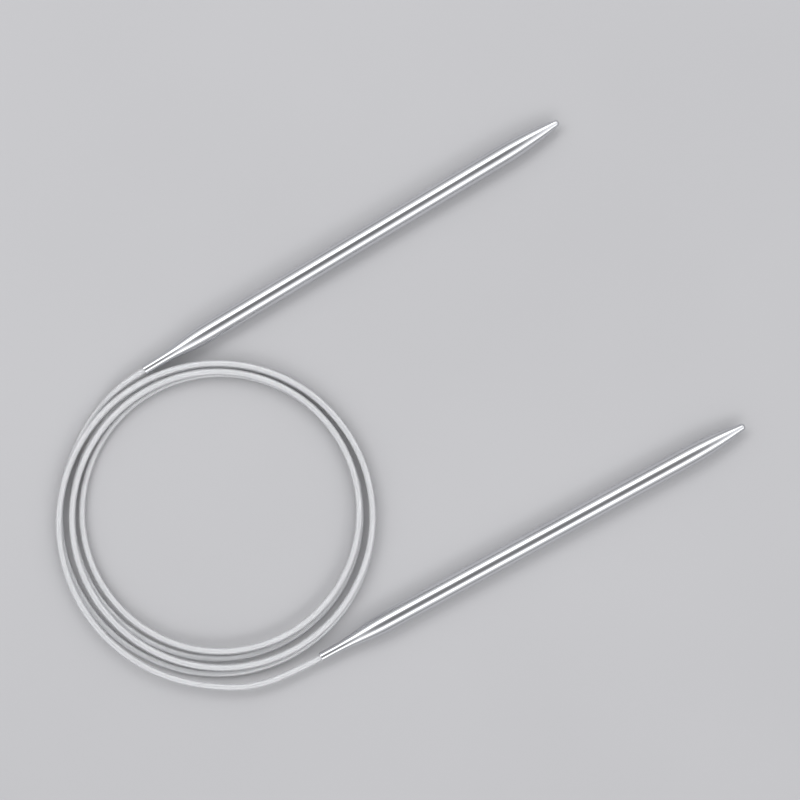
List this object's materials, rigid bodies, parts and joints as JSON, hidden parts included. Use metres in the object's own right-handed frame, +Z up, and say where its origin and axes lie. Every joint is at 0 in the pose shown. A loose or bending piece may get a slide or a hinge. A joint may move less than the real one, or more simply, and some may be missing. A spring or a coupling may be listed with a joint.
{
  "type": "circular knitting needle",
  "caption": "Fixed circular knitting needle: hollow polished steel tips, pointed and necked, on one long jacketed wire cable that lies in a loose coil.",
  "frame": {"origin": "on the surface that the needle lies on, in the middle of the two tips", "axes": "+X along the tips towards their points, +Y across them towards the upper tip, +Z up"},
  "size_m": [0.1632, 0.0914, 0.005],
  "materials": {
    "tip_steel": "polished",
    "sleeve_metal": "plain",
    "core_wire": "twisted wire",
    "cable_jacket": "clear over twisted steel wire"
  },
  "bodies": {
    "cable": {"cable_coil": "cable_jacket", "core_coil": "core_wire", "cable_lead_upper": "cable_jacket", "core_lead_upper": "core_wire", "cable_lead_lower": "cable_jacket", "core_lead_lower": "core_wire"},
    "upper_tip": {"needle_tip_upper": "tip_steel", "crimp_sleeve_upper": "sleeve_metal", "core_end_upper": "core_wire", "jacket_end_upper": "cable_jacket"},
    "lower_tip": {"needle_tip_lower": "tip_steel", "crimp_sleeve_lower": "sleeve_metal", "core_end_lower": "core_wire", "jacket_end_lower": "cable_jacket"}
  },
  "joints": [
    {"name": "upper_tip_swing", "type": "hinge", "parent": "cable", "child": "upper_tip", "pos_m": [-0.0703, 0.0399, 0.0017], "axis": [0, 0, 1], "range_deg": [0, 60], "stiffness_Nm_per_rad": 0.02, "deforming": ["cable_lead_upper", "core_lead_upper"]},
    {"name": "lower_tip_swing", "type": "hinge", "parent": "cable", "child": "lower_tip", "pos_m": [-0.0701, -0.0401, 0.0027], "axis": [0, 0, 1], "range_deg": [-60, 0], "stiffness_Nm_per_rad": 0.02, "deforming": ["cable_lead_lower", "core_lead_lower"]}
  ]
}
